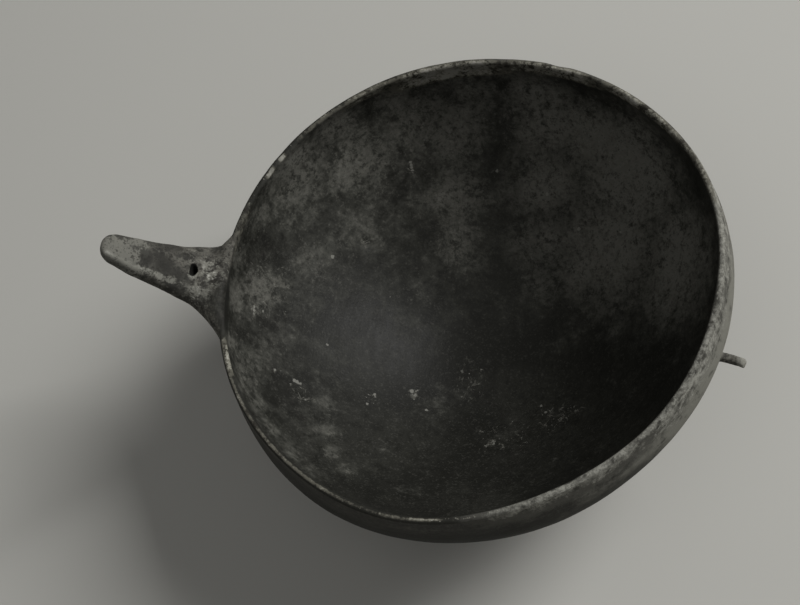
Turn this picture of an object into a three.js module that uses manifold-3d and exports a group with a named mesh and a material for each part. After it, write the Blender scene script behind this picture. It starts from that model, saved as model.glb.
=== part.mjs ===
// A large hand-built bowl with a horn handle and, across from it, a small peg lug.
// It is made of the clay pieces that its potter joined: a pinched base, three wall strips and a
// rim coil, laid one on another, a handle and a peg whose tenons go through the wall, and the
// clay luted round their roots. Millimetres, +Z up. The origin is the middle of the flat foot,
// on the bowl's axis, and the handle points towards -X.

import * as THREE from 'three';
import { mergeVertices } from 'three/addons/utils/BufferGeometryUtils.js';
import Module from 'manifold-3d';

const wasm = await Module();
wasm.setup();

// Bowl
const rimRadius = 160; // to the crest of the lip
const bowlHeight = 150; // foot to crest
const bellySwell = 5; // the widest part of the outside stands out this far beyond the crest
const bellyBelowRim = 26;
const footRadius = 36; // the flat that it stands on
const lowerWallFullness = 1.45; // exponent of the lower wall's curve: 1 is a cone, 2 an ellipse
const wallThickness = 7.5;
const floorThickness = 11;
const floorDip = 2.5; // the floor's middle lies this much lower than its edge
const floorBlend = 7; // how softly the floor turns into the wall
const lipThickness = 4.4;
const lipTaperHeight = 34; // the wall thins to the lip over this height

// Unevenness of the hand-built wall: all of it at the rim, none at the foot
const ovalSwing = 0.5;
const ovalDirection = 69; // degrees from +X
const lobeSwing = 1.5; // three shallow lobes
const lobeDirection = 14;

// Pieces of the wall
const baseBowlHeight = 34;
const rimCoilHeight = 24;
const wallStripCount = 3;

// Horn handle
const handleReach = 63.5; // tip beyond the crest
const handleRise = 48; // tip above the crest
const handleRootDrop = 9.5; // middle line below the crest where it leaves the wall
const handleRootSlope = 26; // degrees up from level
const handleTipSlope = 54;
const handleRootPull = 18; // how far each end keeps to its slope
const handleTipPull = 37;
const handleRootWidth = 44;
const handleTipWidth = 16;
const handleWidthTaper = 0.95; // exponent: 1 narrows evenly
const handleRootThickness = 16;
const handleTipThickness = 11;
const handleTipRounding = 10;
const handleSquareness = 2.4; // exponent of the oval section: 2 is an ellipse
const handleTenonWidth = 20;
const handleTenonHeight = 9;
const handleTenonOffset = 1.5; // its middle lies this much lower than the handle's
const handleTenonBite = 8; // into the handle, beyond the crest

// String hole, straight down through the handle near its root
const stringHoleDiameter = 6.6;
const stringHoleReach = 16; // beyond the crest
const stringHoleSideways = 0.5; // towards -Y

// Clay luted round the handle's root, at its sides and below it
const handleLutingLength = 25; // along the handle
const farFilletLength = 15; // on the +Y side, where the sweep into the wall is tighter
const handleLutingFlare = 18; // sideways, at the wall
const handleLutingDepth = 11; // downwards, at the wall
const lutingEdge = 1.6; // thickness where it ends
const lutingTopDrop = 2.5; // its top lies this much lower than the handle's

// Peg lug
const pegDirection = -15; // degrees from +X
const pegBelowRim = 43;
const pegDiameter = 6.2;
const pegReach = 19.5; // out of the wall
const pegDroop = 1;
const pegTipRounding = 2.2;
const pegLutingLength = 3.8;
const pegLutingFlare = 3;

// Clearances
const tenonClearance = 0.3;
const seatClearance = 0.3;

// Fineness
const stepsAround = 72;
const lowerWallSteps = 22;
const upperWallSteps = 8;
const lipSteps = 6;
const pointsPerStrip = 4;
const handleStations = 22;
const handleSides = 24;
const lutingStations = 8;
const tipSteps = 4;
const lastTipAngle = 80; // degrees, where a rounded tip ends in a small flat
const pegStations = 4;
const pegSides = 16;
const holeSides = 24;
const mergeDistance = 1e-4;

const bellyRadius = rimRadius + bellySwell;
const bellyHeight = bowlHeight - bellyBelowRim;
const lipCentreHeight = bowlHeight - lipThickness / 2;
const rootStart = -wallThickness * 2; // handle, peg and luting start this deep and are trimmed
const radians = THREE.MathUtils.degToRad;

// Outside of the wall.
// Below the belly: r = belly (1 - k^n)^(1/n), k = depth below the belly / full depth of the curve,
// and the full depth is the one that brings the curve to the foot's edge at the foot's height.
const footFraction = (1 - (footRadius / bellyRadius) ** lowerWallFullness) ** (1 / lowerWallFullness);
const curveDepth = bellyHeight / footFraction;

function lowerRadius(fraction) {
  return bellyRadius * (1 - fraction ** lowerWallFullness) ** (1 / lowerWallFullness);
}

// Above the belly: the wall draws in with the square of the height, to the lip's outer side.
function outerRadius(height) {
  if (height < bellyHeight) {
    return lowerRadius((bellyHeight - height) / curveDepth);
  }
  const climb = (height - bellyHeight) / (lipCentreHeight - bellyHeight);
  return bellyRadius - (bellyRadius - rimRadius - lipThickness / 2) * climb ** 2;
}

function thicknessAt(height) {
  const towardsLip = THREE.MathUtils.smoothstep(height, lipCentreHeight - lipTaperHeight, lipCentreHeight);
  return THREE.MathUtils.lerp(wallThickness, lipThickness, towardsLip);
}

// A soft step up from one height to a higher one.
function softMax(a, b, blend) {
  return (a + b + Math.hypot(a - b, blend)) / 2;
}

// Inside of the wall: the outside moved in by the wall's thickness, square to the wall, and
// lifted softly to the floor. The points run from the floor's middle up to the lip.
function insideCurve() {
  const fractions = [];
  for (let i = 0; i <= lowerWallSteps; i += 1) {
    fractions.push(Math.cos((i / lowerWallSteps) * Math.PI / 2));
  }
  const outside = fractions.map((fraction) => (
    new THREE.Vector2(lowerRadius(fraction), bellyHeight - fraction * curveDepth)
  ));
  for (let i = 1; i <= upperWallSteps; i += 1) {
    const height = THREE.MathUtils.lerp(bellyHeight, lipCentreHeight, i / upperWallSteps);
    outside.push(new THREE.Vector2(outerRadius(height), height));
  }
  const last = outside.length - 1;
  const inside = outside.map((point, i) => {
    const along = outside[Math.min(i + 1, last)].clone().sub(outside[Math.max(i - 1, 0)]).normalize();
    const inwards = new THREE.Vector2(-along.y, along.x);
    return point.clone().addScaledVector(inwards, thicknessAt(point.y));
  });
  inside[0].x = 0;
  for (const point of inside) {
    const floor = floorThickness - floorDip + floorDip * (point.x / footRadius) ** 2;
    point.y = softMax(point.y, floor, floorBlend);
  }
  inside[last].set(rimRadius - lipThickness / 2, lipCentreHeight);
  return inside;
}

const inner = insideCurve();

function innerRadius(height) {
  const i = Math.max(1, inner.findIndex((point) => point.y >= height));
  const below = inner[i - 1];
  const above = inner[i];
  return THREE.MathUtils.mapLinear(height, below.y, above.y, below.x, above.x);
}

// The wall's unevenness is a share of the radius, so that it fades out at the axis.
function unevenness(direction, height) {
  const oval = ovalSwing * Math.cos(2 * (direction - radians(ovalDirection)));
  const lobes = lobeSwing * Math.cos(3 * (direction - radians(lobeDirection)));
  return 1 + ((oval + lobes) / rimRadius) * (height / bowlHeight);
}

// A body turned from a profile of radius and height, then made uneven.
function turned(profile) {
  const points = profile.map(([radius, height]) => new THREE.Vector2(radius, height));
  const geometry = new THREE.LatheGeometry(points, stepsAround);
  geometry.rotateX(Math.PI / 2);
  const position = geometry.getAttribute('position');
  for (let i = 0; i < position.count; i += 1) {
    const x = position.getX(i);
    const y = position.getY(i);
    const height = position.getZ(i);
    const share = unevenness(Math.atan2(y, x), height);
    position.setXY(i, x * share, y * share);
  }
  return solid(geometry);
}

// A solid from a closed geometry: shared corners are merged and faces without area dropped.
function solid(geometry) {
  geometry.deleteAttribute('normal');
  geometry.deleteAttribute('uv');
  const merged = mergeVertices(geometry, mergeDistance);
  const corners = [];
  const index = merged.getIndex().array;
  for (let i = 0; i < index.length; i += 3) {
    const [a, b, c] = index.slice(i, i + 3);
    if (a !== b && b !== c && c !== a) {
      corners.push(a, b, c);
    }
  }
  return new wasm.Manifold(new wasm.Mesh({
    numProp: 3,
    vertProperties: merged.getAttribute('position').array,
    triVerts: new Uint32Array(corners),
  }));
}

function evenHeights(bottom, top, count) {
  return Array.from({ length: count + 1 }, (_, i) => THREE.MathUtils.lerp(bottom, top, i / count));
}

function outerLine(bottom, top, count) {
  return evenHeights(bottom, top, count).map((height) => [outerRadius(height), height]);
}

function innerLine(bottom, top, count) {
  return evenHeights(bottom, top, count).map((height) => [innerRadius(height), height]).reverse();
}

function baseBowl() {
  const floor = inner.filter((point) => point.y < baseBowlHeight - lipThickness / 2);
  const floorLine = floor.map((point) => [point.x, point.y]).reverse();
  const edge = outerLine(0, baseBowlHeight, pointsPerStrip + 2);
  return turned([[0, 0], ...edge, [innerRadius(baseBowlHeight), baseBowlHeight], ...floorLine]);
}

function wallStrip(bottom, top) {
  const loop = [...outerLine(bottom, top, pointsPerStrip), ...innerLine(bottom, top, pointsPerStrip)];
  return turned([...loop, loop[0]]);
}

// The lip is half round, over the wall's last bit of height.
function lipArc() {
  const arc = [];
  for (let i = 1; i < lipSteps; i += 1) {
    const angle = (i / lipSteps) * Math.PI;
    const out = (lipThickness / 2) * Math.cos(angle);
    const up = (lipThickness / 2) * Math.sin(angle);
    arc.push([rimRadius + out, lipCentreHeight + up]);
  }
  return arc;
}

function rimCoil(bottom) {
  const outside = outerLine(bottom, lipCentreHeight, pointsPerStrip);
  const loop = [...outside, ...lipArc(), ...innerLine(bottom, lipCentreHeight, pointsPerStrip)];
  return turned([...loop, loop[0]]);
}

// The whole bowl as one filled body, for trimming what sits against its outside. Over the crest
// it goes straight up, so nothing that it trims hangs over the mouth.
function filledBowl(clearance) {
  const crown = bowlHeight + handleRise;
  const steps = lowerWallSteps;
  const wall = outerLine(0, lipCentreHeight, steps).map(([radius, height]) => [radius + clearance, height]);
  const lip = lipArc().filter(([radius]) => radius > rimRadius);
  const rounded = lip.map(([radius, height]) => [radius + clearance, height]);
  const top = [[rimRadius + clearance, bowlHeight], [rimRadius + clearance, crown], [0, crown]];
  return turned([[0, 0], ...wall, ...rounded, ...top]);
}

// The hollow of the bowl as a filled body, for trimming the tenons flush with the inside.
function filledHollow() {
  const wall = inner.map((point) => [point.x, point.y]);
  return turned([...wall, [rimRadius - lipThickness / 2, bowlHeight], [0, bowlHeight]]);
}

// A closed body over a row of rings with the same number of points.
function skinned(rings) {
  const sides = rings[0].length;
  const points = rings.flat();
  const corners = [];
  for (let ring = 0; ring < rings.length - 1; ring += 1) {
    for (let side = 0; side < sides; side += 1) {
      const next = (side + 1) % sides;
      const a = ring * sides + side;
      const b = ring * sides + next;
      const c = a + sides;
      const d = b + sides;
      corners.push(a, b, d, a, d, c);
    }
  }
  const ends = [rings[0], rings[rings.length - 1]];
  ends.forEach((end, which) => {
    const middle = points.length;
    const start = which * (rings.length - 1) * sides;
    points.push(end.reduce((sum, point) => sum.add(point), new THREE.Vector3()).divideScalar(sides));
    for (let side = 0; side < sides; side += 1) {
      const next = start + (side + 1) % sides;
      corners.push(...(which ? [middle, start + side, next] : [middle, next, start + side]));
    }
  });
  const geometry = new THREE.BufferGeometry().setFromPoints(points);
  geometry.setIndex(corners);
  return solid(geometry);
}

// An oval ring in the plane of a frame's side and up, with its half sizes given as towards the
// side, away from it, up and down.
function ovalRing(frame, halves, squareness, sides) {
  const [near, far, high, low] = halves;
  const ring = [];
  for (let i = 0; i < sides; i += 1) {
    const angle = (i / sides) * Math.PI * 2;
    const across = Math.sign(Math.cos(angle)) * Math.abs(Math.cos(angle)) ** (2 / squareness);
    const rise = Math.sign(Math.sin(angle)) * Math.abs(Math.sin(angle)) ** (2 / squareness);
    const point = frame.centre.clone();
    point.addScaledVector(frame.side, across * (across > 0 ? near : far));
    point.addScaledVector(frame.up, rise * (rise > 0 ? high : low));
    ring.push(point);
  }
  return ring;
}

function evenOval(frame, halfWidth, halfHeight, squareness, sides) {
  return ovalRing(frame, [halfWidth, halfWidth, halfHeight, halfHeight], squareness, sides);
}

// The handle's middle line, in the plane of the axis and the handle.
function handleLine() {
  const root = new THREE.Vector3(-rimRadius, 0, bowlHeight - handleRootDrop);
  const tip = new THREE.Vector3(-rimRadius - handleReach, 0, bowlHeight + handleRise);
  const slope = (degrees) => new THREE.Vector3(-Math.cos(radians(degrees)), 0, Math.sin(radians(degrees)));
  const rootArm = root.clone().addScaledVector(slope(handleRootSlope), handleRootPull);
  const tipArm = tip.clone().addScaledVector(slope(handleTipSlope), -handleTipPull);
  return new THREE.CubicBezierCurve3(root, rootArm, tipArm, tip);
}

const middleLine = handleLine();
const middleLength = middleLine.getLength();
const sideways = new THREE.Vector3(0, -1, 0);
const upwards = new THREE.Vector3(0, 0, 1);

// Where a ring of the handle lies, at a distance along the middle line. A distance below zero
// lies inside the wall, straight behind the root.
function handleFrame(distance) {
  const share = THREE.MathUtils.clamp(distance / middleLength, 0, 1);
  const along = middleLine.getTangentAt(share);
  const centre = middleLine.getPointAt(share);
  centre.addScaledVector(along, Math.min(distance, 0));
  const up = new THREE.Vector3().crossVectors(along, sideways);
  const taper = (1 - share) ** handleWidthTaper;
  const halfWidth = THREE.MathUtils.lerp(handleTipWidth, handleRootWidth, taper) / 2;
  const halfThickness = THREE.MathUtils.lerp(handleRootThickness, handleTipThickness, share) / 2;
  return { centre, side: sideways, up, halfWidth, halfThickness };
}

function hornRing(distance, extra, shrink) {
  const frame = handleFrame(distance);
  const halfWidth = (frame.halfWidth + extra) * shrink;
  const halfThickness = (frame.halfThickness + extra) * shrink;
  return evenOval(frame, halfWidth, halfThickness, handleSquareness, handleSides);
}

// The horn is `extra` fatter all round and starts inside the wall. Its tip closes as half an
// oval: the rings shrink with the cosine of an angle whose sine carries them over the rounding.
function horn(extra) {
  const straight = middleLength - handleTipRounding;
  const rings = evenHeights(rootStart, straight, handleStations).map((distance) => hornRing(distance, extra, 1));
  for (let i = 1; i <= tipSteps; i += 1) {
    const angle = (i / tipSteps) * radians(lastTipAngle);
    rings.push(hornRing(straight + handleTipRounding * Math.sin(angle), extra, Math.cos(angle)));
  }
  return skinned(rings);
}

// An oval rod along X through the wall at the handle's root.
function handleTenon(extra) {
  const middle = new THREE.Vector3(0, 0, bowlHeight - handleRootDrop - handleTenonOffset);
  const halfWidth = handleTenonWidth / 2 + extra;
  const halfHeight = handleTenonHeight / 2 + extra;
  const rings = [-rimRadius - rootStart, -rimRadius - handleTenonBite].map((x) => {
    const frame = { centre: middle.clone().setX(x), side: sideways, up: upwards };
    return evenOval(frame, halfWidth, halfHeight, 2, handleSides);
  });
  return skinned(rings);
}

function stringHole() {
  const geometry = new THREE.CylinderGeometry(
    stringHoleDiameter / 2, stringHoleDiameter / 2, bowlHeight, holeSides,
  );
  geometry.rotateX(Math.PI / 2);
  geometry.translate(-rimRadius - stringHoleReach, -stringHoleSideways, bowlHeight);
  return solid(geometry);
}

// How far luting stands out of what it holds: `atWall` at the wall, and less with the square of
// the length that is left, down to the thickness where it ends.
function lutingSwell(distance, length, atWall) {
  const left = THREE.MathUtils.clamp(1 - distance / length, 0, 1);
  return THREE.MathUtils.lerp(lutingEdge, atWall, left ** 2);
}

function handleLuting() {
  const distances = [rootStart, ...evenHeights(0, handleLutingLength, lutingStations)];
  const rings = distances.map((distance) => {
    const frame = handleFrame(distance);
    const near = frame.halfWidth + lutingSwell(distance, handleLutingLength, handleLutingFlare);
    const far = frame.halfWidth + lutingSwell(distance, farFilletLength, handleLutingFlare);
    const high = frame.halfThickness - lutingTopDrop;
    const low = frame.halfThickness + lutingSwell(distance, handleLutingLength, handleLutingDepth);
    return ovalRing(frame, [near, far, high, low], handleSquareness, handleSides * 2);
  });
  return skinned(rings);
}

const pegHeight = bowlHeight - pegBelowRim;
const pegOutwards = new THREE.Vector3(Math.cos(radians(pegDirection)), Math.sin(radians(pegDirection)), 0);
const pegSideways = new THREE.Vector3(-pegOutwards.y, pegOutwards.x, 0);
const pegWall = outerRadius(pegHeight) * unevenness(radians(pegDirection), pegHeight);

// A ring of the peg, at a distance out of the wall: it droops with the square of the distance.
function pegRing(distance, radius) {
  const droop = pegDroop * (Math.max(distance, 0) / pegReach) ** 2;
  const centre = pegOutwards.clone().multiplyScalar(pegWall + distance).setZ(pegHeight - droop);
  return evenOval({ centre, side: pegSideways, up: upwards }, radius, radius, 2, pegSides);
}

function peg(extra) {
  const radius = pegDiameter / 2 + extra;
  const straight = pegReach - pegTipRounding;
  const distances = [rootStart, ...evenHeights(0, straight, pegStations)];
  const rings = distances.map((distance) => pegRing(distance, radius));
  for (let i = 1; i <= tipSteps; i += 1) {
    const angle = (i / tipSteps) * radians(lastTipAngle);
    rings.push(pegRing(straight + pegTipRounding * Math.sin(angle), radius * Math.cos(angle)));
  }
  return skinned(rings);
}

function pegLuting() {
  const distances = [rootStart, ...evenHeights(0, pegLutingLength, lutingStations)];
  return skinned(distances.map((distance) => (
    pegRing(distance, pegDiameter / 2 + lutingSwell(distance, pegLutingLength, pegLutingFlare))
  )));
}

// Clay colours, as the fired and worn surfaces show them
const clays = {
  burnished: { color: 0x3f3c38, roughness: 0.42, metalness: 0 },
  wornRim: { color: 0x57534c, roughness: 0.55, metalness: 0 },
  handle: { color: 0x6e6a62, roughness: 0.6, metalness: 0 },
  luting: { color: 0x64605a, roughness: 0.65, metalness: 0 },
  peg: { color: 0x77736a, roughness: 0.7, metalness: 0 },
};

function clayMesh(name, body, clay) {
  const mesh = body.getMesh();
  const geometry = new THREE.BufferGeometry();
  geometry.setAttribute('position', new THREE.BufferAttribute(mesh.vertProperties, 3));
  geometry.setIndex(new THREE.BufferAttribute(mesh.triVerts, 1));
  geometry.computeVertexNormals();
  const piece = new THREE.Mesh(geometry, new THREE.MeshStandardMaterial(clays[clay]));
  piece.name = name;
  return piece;
}

const bowl = new THREE.Group();
bowl.name = 'handled_bowl';

const seat = filledBowl(seatClearance);
const hollow = filledHollow();
const sockets = handleTenon(tenonClearance).add(peg(tenonClearance));

// Wall pieces, from the foot up, each laid on the flat top of the one below
const rimCoilBottom = bowlHeight - rimCoilHeight;
const stripHeight = (rimCoilBottom - baseBowlHeight) / wallStripCount;
bowl.add(clayMesh('base_bowl', baseBowl().subtract(sockets), 'burnished'));
for (let i = 0; i < wallStripCount; i += 1) {
  const bottom = baseBowlHeight + i * stripHeight;
  const top = i + 1 < wallStripCount ? bottom + stripHeight : rimCoilBottom;
  bowl.add(clayMesh(`wall_strip_${i + 1}`, wallStrip(bottom, top).subtract(sockets), 'burnished'));
}
bowl.add(clayMesh('rim_coil', rimCoil(rimCoilBottom).subtract(sockets), 'wornRim'));

// Handle and peg, each with its tenon, and the luting round their roots
const hornHandle = horn(0).subtract(seat).add(handleTenon(0).subtract(hollow)).subtract(stringHole());
const hornSocket = horn(seatClearance).add(sockets);
const hornLuting = handleLuting().subtract(seat).subtract(hornSocket).subtract(stringHole());
const pegLug = peg(0).subtract(hollow);
const pegCollar = pegLuting().subtract(seat).subtract(sockets);
bowl.add(clayMesh('horn_handle', hornHandle, 'handle'));
bowl.add(clayMesh('handle_luting', hornLuting, 'luting'));
bowl.add(clayMesh('peg_lug', pegLug, 'peg'));
bowl.add(clayMesh('peg_luting', pegCollar, 'luting'));

export default bowl;
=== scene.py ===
# A large hand-built, burnished clay bowl with a horn handle and a small peg lug.
# Shapes are worked out in millimetres, in the frame of the CAD model: the origin is the middle
# of the foot, z is up and the handle points towards -x. They turn to metres as meshes are made.

import math

import bpy
import numpy as np
from mathutils import Matrix, Vector


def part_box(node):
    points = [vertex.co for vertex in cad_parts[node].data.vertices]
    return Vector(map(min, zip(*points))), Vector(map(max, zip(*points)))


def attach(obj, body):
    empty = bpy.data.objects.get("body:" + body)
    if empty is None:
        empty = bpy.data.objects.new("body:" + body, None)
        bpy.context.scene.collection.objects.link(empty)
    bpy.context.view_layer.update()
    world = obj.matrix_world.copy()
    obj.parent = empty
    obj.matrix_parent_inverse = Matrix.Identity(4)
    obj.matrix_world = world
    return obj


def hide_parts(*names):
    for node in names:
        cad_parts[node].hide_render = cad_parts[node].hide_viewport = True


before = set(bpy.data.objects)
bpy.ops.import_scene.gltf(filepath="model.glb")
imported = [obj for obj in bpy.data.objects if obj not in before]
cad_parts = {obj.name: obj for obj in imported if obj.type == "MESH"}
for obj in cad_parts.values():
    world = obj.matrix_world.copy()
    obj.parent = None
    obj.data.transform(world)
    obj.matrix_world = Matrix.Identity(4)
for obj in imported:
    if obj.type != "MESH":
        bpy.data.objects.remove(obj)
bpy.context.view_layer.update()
mm = 0.001
print("frame loaded,", len(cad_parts), "clay pieces")


def addObject(name, data):
    made = bpy.data.objects.new(name, data)
    bpy.context.scene.collection.objects.link(made)
    return made


# Camera: it looks down into the bowl from the photograph's place. The angles are the turn round
# the bowl, the height above level and the turn about the line of sight. The distance and the
# shifts are in rim radii, from the middle of the rim.
cameraPlace = {
    "turn": 32.5,
    "height": 59.75,
    "roll": 29.9,
    "distance": 4.665,
    "shiftRight": 0.2274,
    "shiftUp": 0.1306,
    "lens": 54,
    "sensor": 36,
    "clipStart": 0.01,
}


# Sets the camera up and gives its right, up and back directions.
def placeCamera(place, rimRadius, rimHeight):
    turn, height, roll = (math.radians(place[key]) for key in ("turn", "height", "roll"))
    back = Vector((
        math.sin(turn) * math.cos(height), -math.cos(turn) * math.cos(height), math.sin(height),
    ))
    level = Vector((math.cos(turn), math.sin(turn), 0))
    steep = back.cross(level)
    right = level * math.cos(roll) - steep * math.sin(roll)
    up = level * math.sin(roll) + steep * math.cos(roll)
    eye = back * place["distance"] - right * place["shiftRight"] - up * place["shiftUp"]
    lens = bpy.data.cameras.new("archiveCamera")
    lens.lens = place["lens"]
    lens.sensor_width = place["sensor"]
    lens.clip_start = place["clipStart"]
    camera = addObject("archiveCamera", lens)
    axes = Matrix((right, up, back)).transposed().to_4x4()
    eye = eye * rimRadius * mm + Vector((0, 0, rimHeight * mm))
    camera.matrix_world = Matrix.Translation(eye) @ axes
    bpy.context.scene.camera = camera
    return right, up, back


# Meshes

# A closed skin over rows of points that run round a body, with one point to close each end. The
# rows follow each other so that (round the row) x (to the next row) points out of the body.
def skinMesh(name, rows, firstPole, lastPole):
    count, around = rows.shape[:2]
    points = np.concatenate([rows.reshape(-1, 3), [firstPole], [lastPole]]) * mm
    index = np.arange(count * around).reshape(count, around)
    turned = np.roll(index, -1, axis=1)
    walls = np.stack([index[:-1], turned[:-1], turned[1:], index[1:]], -1).reshape(-1, 4)
    first, last = count * around, count * around + 1
    start = np.stack([np.full(around, first), turned[0], index[0]], -1)
    end = np.stack([index[-1], turned[-1], np.full(around, last)], -1)
    mesh = bpy.data.meshes.new(name)
    mesh.from_pydata(points.tolist(), [], walls.tolist() + start.tolist() + end.tolist())
    mesh.shade_smooth()
    return mesh


# Keeps a value for each point of a mesh under its name, for the material.
def storeValues(mesh, **values):
    for name, value in values.items():
        layer = mesh.attributes.new(name, "FLOAT", "POINT")
        layer.data.foreach_set("value", np.asarray(value, np.float32).ravel())


# The mesh's points and its normals, in millimetres.
def readPoints(mesh):
    points = np.empty(len(mesh.vertices) * 3, np.float32)
    mesh.vertices.foreach_get("co", points)
    normals = np.empty(len(mesh.vertices) * 3, np.float32)
    mesh.vertex_normals.foreach_get("vector", normals)
    return points.reshape(-1, 3).astype(float) / mm, normals.reshape(-1, 3).astype(float)


# Shaping helpers

# A smooth step from 0 at low to 1 at high: 3t^2 - 2t^3.
def smoothStep(value, low, high):
    t = np.clip((value - low) / (high - low), 0, 1)
    return t * t * (3 - 2 * t)


# A soft rise from one height to a higher one: (a + b + hypot(a - b, blend)) / 2.
def softMax(a, b, blend):
    return (a + b + np.hypot(a - b, blend)) / 2


# |value|^power, with the value's sign.
def signedPower(value, power):
    return np.sign(value) * np.abs(value) ** power


# A cubic curve from one place to another, with an arm at each:
# start (1 - t)^3 + 3 startArm t (1 - t)^2 + 3 endArm t^2 (1 - t) + end t^3.
def cubicCurve(start, startArm, endArm, end, t):
    first = start * (1 - t) ** 3 + startArm * 3 * t * (1 - t) ** 2
    return first + endArm * 3 * t ** 2 * (1 - t) + end * t ** 3


# The shorter turn to directions, in radians, from one in degrees.
def turnFrom(towards, direction):
    return np.angle(np.exp(1j * (direction - math.radians(towards))))


# How much of a mark that faces a direction, in degrees, is left at others, in radians:
# exp(-(turn / half spread)^power).
def sectorShare(direction, towards, spread, power):
    return np.exp(-np.abs(np.degrees(turnFrom(towards, direction)) / spread) ** power)


# What hands leave in clay, from -1 to 1: random numbers on a cubic lattice with one cell's
# spacing, joined between its corners by the smooth step.
def handField(points, cell, seed):
    size, seedShift = 24, 1.37  # in cells; fields of different seeds lie apart
    lattice = np.random.default_rng(seed).uniform(-1, 1, (size, size, size))
    place = np.asarray(points) / cell + seed * seedShift
    corner = np.floor(place).astype(int)
    part = place - corner
    part = part * part * (3 - 2 * part)
    total = np.zeros(place.shape[:-1])
    for step in np.ndindex(2, 2, 2):
        weight = np.prod(np.where(np.array(step), part, 1 - part), axis=-1)
        at = (corner + np.array(step)) % size
        total += weight * lattice[at[..., 0], at[..., 1], at[..., 2]]
    return total


# The handle's clay smeared onto the wall round its root: how far its middle lies below the crest,
# how far it reaches to the near side (-y), the far side, above and below, and the powers of its
# oval outline.
rootSmear = {"drop": 11, "near": 50, "far": 37, "above": 15, "below": 27, "powers": (2.2, 2.6)}

# Bowl: base, wall strips and rim coil, smoothed into one wall. Its main sizes are the CAD's, and
# the rest is what hands and wear add to them.
bowlForm = {
    "rimRadius": 160,
    "bellySwell": 5,
    "bellyBelowRim": 26,
    "footRadius": 36,
    "lowerWallFullness": 1.45,
    "wallThickness": 7.5,
    "floorThickness": 11,
    "floorDip": 2.5,
    "floorBlend": 7,
    "footBlend": 2.4,  # how softly the foot's edge is rubbed into the wall
    "footRubbed": 20,  # up to this height
    "footFlat": (1.5, 12),  # even up to the first height, and fully uneven from the second
    "lipThickness": 4.4,
    "lipTaperHeight": 34,
    "ovalSwing": 0.5,
    "ovalDirection": 69,
    "lobeSwing": 1.5,
    "lobeDirection": 14,
    # The near side's rim is drawn in above the belly by more than the CAD's, in uneven pulls
    "drawnIn": {
        "towards": -62, "spread": 100, "depth": 1.9, "unevenness": 0.9, "pulls": 6, "deepest": -67,
        "belowCrest": 2,
    },
    "swells": [(64, 0.9, 11), (23, 0.34, 12), (9, 0.1, 13)],  # spacing, depth, seed
    "swellsOut": 0.5,  # this much of them stands out of the CAD surface
    "calmNearLip": (1, 14, 0.25),  # they fade between these distances from the crest, to this share
    "lipWaves": [(46, 0.42, 31), (13, 0.2, 32), (5, 0.1, 33)],  # of the crest: spacing, height, seed
    "lipWaveEnds": (2, 0.6),  # they fade from this distance to this many spacings from the crest
    # Small dents inside: place, radius, depth
    "dents": [
        ((-93, 69, 63), 4.2, 0.8), ((-120, -52, 80), 5, 0.45), ((-61, 118, 81), 3.6, 0.4),
        ((-128, 40, 84), 6, 0.4), ((48, -50, 28), 6, 0.35), ((96, 92, 86), 7, 0.4),
    ],
    # Flakes lost from the lip: direction, distance from the crest (inside is above zero),
    # half length, half width, depth
    "flakes": [
        (-61, 0.5, 5.0, 2.2, 1.3),
        (52, 2.6, 8.0, 2.6, 0.8),
        (61, 3.0, 6.5, 2.4, 0.9),
        (45, 2.4, 5.0, 2.2, 0.6),
        (70, -1.4, 6.0, 2.2, 0.7),
        (84, 0.6, 6.5, 2.6, 0.8),
        (101, 1.6, 5.5, 2.2, 0.6),
        (145.5, 1.2, 3.8, 2.4, 0.9),
        (150.4, 0.8, 4.6, 2.6, 0.9),
        (-128, 1.8, 4.5, 1.8, 0.4),
        (-84, -0.8, 5.0, 2.0, 0.6),
        (-22, -1.8, 6.0, 2.6, 0.7),
        (8, -1.2, 5.0, 2.0, 0.5),
    ],
    "flakeRaggedness": (0.35, 2.6, 21),  # share of the depth, spacing, seed
    "pointsAround": 440,
    "curvePoints": 900,
    "climbPoints": 200,
    "lipPoints": 60,
}
rimRadius = bowlForm["rimRadius"]
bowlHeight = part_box("rim_coil")[1].z / mm


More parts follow.
